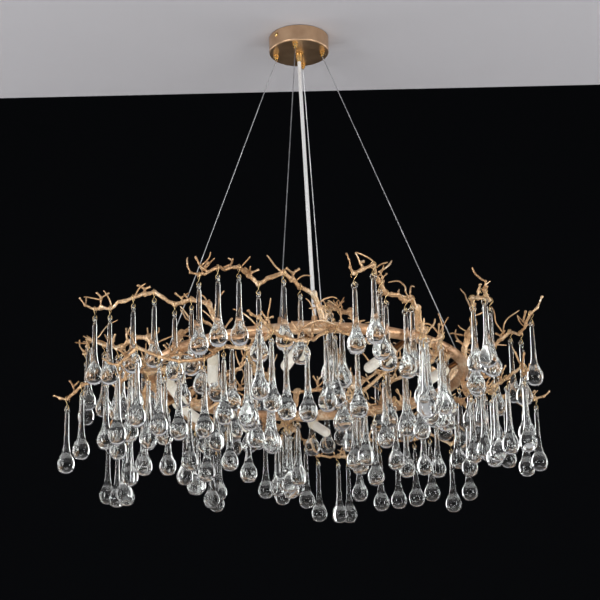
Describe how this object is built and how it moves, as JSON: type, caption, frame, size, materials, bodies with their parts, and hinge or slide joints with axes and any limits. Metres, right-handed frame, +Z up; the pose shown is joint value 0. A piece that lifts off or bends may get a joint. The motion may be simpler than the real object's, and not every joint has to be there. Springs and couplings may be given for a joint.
{
  "type": "branch chandelier",
  "caption": "Round branch chandelier: a bark-textured ring hung on steel wires below a cup canopy, with knobbly twigs, small capsule lamps and rows of clear glass drops swinging on wire hooks.",
  "frame": {"origin": "on the ceiling plane, at the axis of the canopy", "axes": "+Z up towards the ceiling, -Y towards the side that the picture is taken from, +X to the right in the picture"},
  "size_m": [0.7885, 0.7814, 0.7832],
  "materials": {
    "canopy_gold": "satin",
    "zinc_steel": "satin",
    "brass_fitting": "polished",
    "white_plastic": "matte",
    "wire_steel": "bright",
    "clear_pvc": "gloss",
    "bark_bronze": "brushed bark",
    "twig_gold": "satin",
    "arm_brown": "satin",
    "holder_ivory": "matte",
    "lamp_white": "frosted",
    "hook_gold": "bright",
    "clear_glass": "polished"
  },
  "bodies": {
    "fixture": {"mounting_bracket": "zinc_steel", "canopy_cup": "canopy_gold", "canopy_screws": "brass_fitting", "terminal_block": "white_plastic", "cable_gland": "brass_fitting", "gland_nut": "zinc_steel", "gripper_barrels": "brass_fitting", "gripper_nuts": "zinc_steel", "suspension_wires": "wire_steel", "wire_anchors": "bark_bronze", "power_cord": "clear_pvc", "ring_right_half": "bark_bronze", "ring_left_half": "bark_bronze", "ring_sleeves": "bark_bronze", "lamp_arms": "arm_brown", "lamp_holders": "holder_ivory", "lamps": "lamp_white", "drop_hooks": "hook_gold", "branches_near": "twig_gold", "branches_right": "twig_gold", "branches_far": "twig_gold", "branches_left": "twig_gold"},
    "plunger_near": {"plunger_near": "brass_fitting"},
    "plunger_right": {"plunger_right": "brass_fitting"},
    "plunger_far": {"plunger_far": "brass_fitting"},
    "plunger_left": {"plunger_left": "brass_fitting"},
    "drops_outer_01": {"drops_outer_01": "clear_glass"},
    "drops_outer_02": {"drops_outer_02": "clear_glass"},
    "drops_outer_03": {"drops_outer_03": "clear_glass"},
    "drops_outer_04": {"drops_outer_04": "clear_glass"},
    "drops_outer_05": {"drops_outer_05": "clear_glass"},
    "drops_outer_06": {"drops_outer_06": "clear_glass"},
    "drops_outer_07": {"drops_outer_07": "clear_glass"},
    "drops_outer_08": {"drops_outer_08": "clear_glass"},
    "drops_outer_09": {"drops_outer_09": "clear_glass"},
    "drops_outer_10": {"drops_outer_10": "clear_glass"},
    "drops_outer_11": {"drops_outer_11": "clear_glass"},
    "drops_outer_12": {"drops_outer_12": "clear_glass"},
    "drops_outer_13": {"drops_outer_13": "clear_glass"},
    "drops_outer_14": {"drops_outer_14": "clear_glass"},
    "drops_outer_15": {"drops_outer_15": "clear_glass"},
    "drops_outer_16": {"drops_outer_16": "clear_glass"},
    "drops_outer_17": {"drops_outer_17": "clear_glass"},
    "drops_outer_18": {"drops_outer_18": "clear_glass"},
    "drops_outer_19": {"drops_outer_19": "clear_glass"},
    "drops_outer_20": {"drops_outer_20": "clear_glass"},
    "drops_inner_01": {"drops_inner_01": "clear_glass"},
    "drops_inner_02": {"drops_inner_02": "clear_glass"},
    "drops_inner_03": {"drops_inner_03": "clear_glass"},
    "drops_inner_04": {"drops_inner_04": "clear_glass"},
    "drops_inner_05": {"drops_inner_05": "clear_glass"},
    "drops_inner_06": {"drops_inner_06": "clear_glass"},
    "drops_inner_07": {"drops_inner_07": "clear_glass"},
    "drops_inner_08": {"drops_inner_08": "clear_glass"},
    "drops_inner_09": {"drops_inner_09": "clear_glass"},
    "drops_inner_10": {"drops_inner_10": "clear_glass"}
  },
  "joints": [
    {"name": "plunger_near_press", "type": "slide", "parent": "fixture", "child": "plunger_near", "axis": [0, 0, 1], "range_m": [0, 0.002], "stiffness_N_per_m": 400},
    {"name": "plunger_right_press", "type": "slide", "parent": "fixture", "child": "plunger_right", "axis": [0, 0, 1], "range_m": [0, 0.002], "stiffness_N_per_m": 400},
    {"name": "plunger_far_press", "type": "slide", "parent": "fixture", "child": "plunger_far", "axis": [0, 0, 1], "range_m": [0, 0.002], "stiffness_N_per_m": 400},
    {"name": "plunger_left_press", "type": "slide", "parent": "fixture", "child": "plunger_left", "axis": [0, 0, 1], "range_m": [0, 0.002], "stiffness_N_per_m": 400},
    {"name": "swing_outer_01", "type": "hinge", "parent": "fixture", "child": "drops_outer_01", "pos_m": [-0.12553, -0.33032, -0.55338], "axis": [-0.9311, -0.3649, 0], "range_deg": [-3, 3]},
    {"name": "swing_outer_02", "type": "hinge", "parent": "fixture", "child": "drops_outer_02", "pos_m": [0.07397, -0.25134, -0.64122], "axis": [-0.7727, -0.6347, 0], "range_deg": [-3, 3]},
    {"name": "swing_outer_03", "type": "hinge", "parent": "fixture", "child": "drops_outer_03", "pos_m": [0.10728, -0.31064, -0.57271], "axis": [-0.5388, -0.8425, 0], "range_deg": [-3, 3]},
    {"name": "swing_outer_04", "type": "hinge", "parent": "fixture", "child": "drops_outer_04", "pos_m": [0.19825, -0.19566, -0.64417], "axis": [-0.2521, -0.9677, 0], "range_deg": [-3, 3]},
    {"name": "swing_outer_05", "type": "hinge", "parent": "fixture", "child": "drops_outer_05", "pos_m": [0.26577, -0.24557, -0.5684], "axis": [0.0593, -0.9982, 0], "range_deg": [-3, 3]},
    {"name": "swing_outer_06", "type": "hinge", "parent": "fixture", "child": "drops_outer_06", "pos_m": [0.3066, -0.12137, -0.66903], "axis": [0.3649, -0.9311, 0], "range_deg": [-3, 3]},
    {"name": "swing_outer_07", "type": "hinge", "parent": "fixture", "child": "drops_outer_07", "pos_m": [0.34522, -0.02366, -0.56649], "axis": [0.6347, -0.7727, 0], "range_deg": [-3, 3]},
    {"name": "swing_outer_08", "type": "hinge", "parent": "fixture", "child": "drops_outer_08", "pos_m": [0.21618, 0.14802, -0.64122], "axis": [0.8425, -0.5388, 0], "range_deg": [-3, 3]},
    {"name": "swing_outer_09", "type": "hinge", "parent": "fixture", "child": "drops_outer_09", "pos_m": [0.17084, 0.22184, -0.56122], "axis": [0.9677, -0.2521, 0], "range_deg": [-3, 3]},
    {"name": "swing_outer_10", "type": "hinge", "parent": "fixture", "child": "drops_outer_10", "pos_m": [0.18522, 0.2526, -0.66714], "axis": [0.9982, 0.0593, 0], "range_deg": [-3, 3]},
    {"name": "swing_outer_11", "type": "hinge", "parent": "fixture", "child": "drops_outer_11", "pos_m": [0.09287, 0.30678, -0.5553], "axis": [0.9311, 0.3649, 0], "range_deg": [-3, 3]},
    {"name": "swing_outer_12", "type": "hinge", "parent": "fixture", "child": "drops_outer_12", "pos_m": [-0.04582, 0.2667, -0.65576], "axis": [0.7727, 0.6347, 0], "range_deg": [-3, 3]},
    {"name": "swing_outer_13", "type": "hinge", "parent": "fixture", "child": "drops_outer_13", "pos_m": [-0.08923, 0.33887, -0.53897], "axis": [0.5388, 0.8425, 0], "range_deg": [-3, 3]},
    {"name": "swing_outer_14", "type": "hinge", "parent": "fixture", "child": "drops_outer_14", "pos_m": [-0.20758, 0.15986, -0.64122], "axis": [0.2521, 0.9677, 0], "range_deg": [-3, 3]},
    {"name": "swing_outer_15", "type": "hinge", "parent": "fixture", "child": "drops_outer_15", "pos_m": [-0.27524, 0.21947, -0.54522], "axis": [-0.0593, 0.9982, 0], "range_deg": [-3, 3]},
    {"name": "swing_outer_16", "type": "hinge", "parent": "fixture", "child": "drops_outer_16", "pos_m": [-0.2619, 0.00732, -0.65922], "axis": [-0.3649, 0.9311, 0], "range_deg": [-3, 3]},
    {"name": "swing_outer_17", "type": "hinge", "parent": "fixture", "child": "drops_outer_17", "pos_m": [-0.3251, -0.01028, -0.56653], "axis": [-0.6347, 0.7727, 0], "range_deg": [-3, 3]},
    {"name": "swing_outer_18", "type": "hinge", "parent": "fixture", "child": "drops_outer_18", "pos_m": [-0.21618, -0.14802, -0.64922], "axis": [-0.8425, 0.5388, 0], "range_deg": [-3, 3]},
    {"name": "swing_outer_19", "type": "hinge", "parent": "fixture", "child": "drops_outer_19", "pos_m": [-0.32101, -0.17549, -0.5604], "axis": [-0.9677, 0.2521, 0], "range_deg": [-3, 3]},
    {"name": "swing_outer_20", "type": "hinge", "parent": "fixture", "child": "drops_outer_20", "pos_m": [-0.21616, -0.25444, -0.6623], "axis": [-0.9982, -0.0593, 0], "range_deg": [-3, 3]},
    {"name": "swing_inner_01", "type": "hinge", "parent": "fixture", "child": "drops_inner_01", "pos_m": [0.04, -0.15723, -0.58057], "axis": [-0.304, 0.9527, 0], "range_deg": [-3, 3]},
    {"name": "swing_inner_02", "type": "hinge", "parent": "fixture", "child": "drops_inner_02", "pos_m": [0.1716, -0.14553, -0.64922], "axis": [-0.8059, 0.592, 0], "range_deg": [-3, 3]},
    {"name": "swing_inner_03", "type": "hinge", "parent": "fixture", "child": "drops_inner_03", "pos_m": [0.12987, -0.01638, -0.59628], "axis": [-1, 0.0052, 0], "range_deg": [-3, 3]},
    {"name": "swing_inner_04", "type": "hinge", "parent": "fixture", "child": "drops_inner_04", "pos_m": [0.16139, 0.09664, -0.65172], "axis": [-0.8121, -0.5835, 0], "range_deg": [-3, 3]},
    {"name": "swing_inner_05", "type": "hinge", "parent": "fixture", "child": "drops_inner_05", "pos_m": [0.06123, 0.12242, -0.56128], "axis": [-0.314, -0.9494, 0], "range_deg": [-3, 3]},
    {"name": "swing_inner_06", "type": "hinge", "parent": "fixture", "child": "drops_inner_06", "pos_m": [-0.01605, 0.1019, -0.66035], "axis": [0.304, -0.9527, 0], "range_deg": [-3, 3]},
    {"name": "swing_inner_07", "type": "hinge", "parent": "fixture", "child": "drops_inner_07", "pos_m": [-0.12123, 0.10853, -0.57957], "axis": [0.8059, -0.592, 0], "range_deg": [-3, 3]},
    {"name": "swing_inner_08", "type": "hinge", "parent": "fixture", "child": "drops_inner_08", "pos_m": [-0.22437, 0.01687, -0.65722], "axis": [1, -0.0052, 0], "range_deg": [-3, 3]},
    {"name": "swing_inner_09", "type": "hinge", "parent": "fixture", "child": "drops_inner_09", "pos_m": [-0.14058, -0.07676, -0.56368], "axis": [0.8121, 0.5835, 0], "range_deg": [-3, 3]},
    {"name": "swing_inner_10", "type": "hinge", "parent": "fixture", "child": "drops_inner_10", "pos_m": [-0.05476, -0.1156, -0.65845], "axis": [0.314, 0.9494, 0], "range_deg": [-3, 3]}
  ]
}
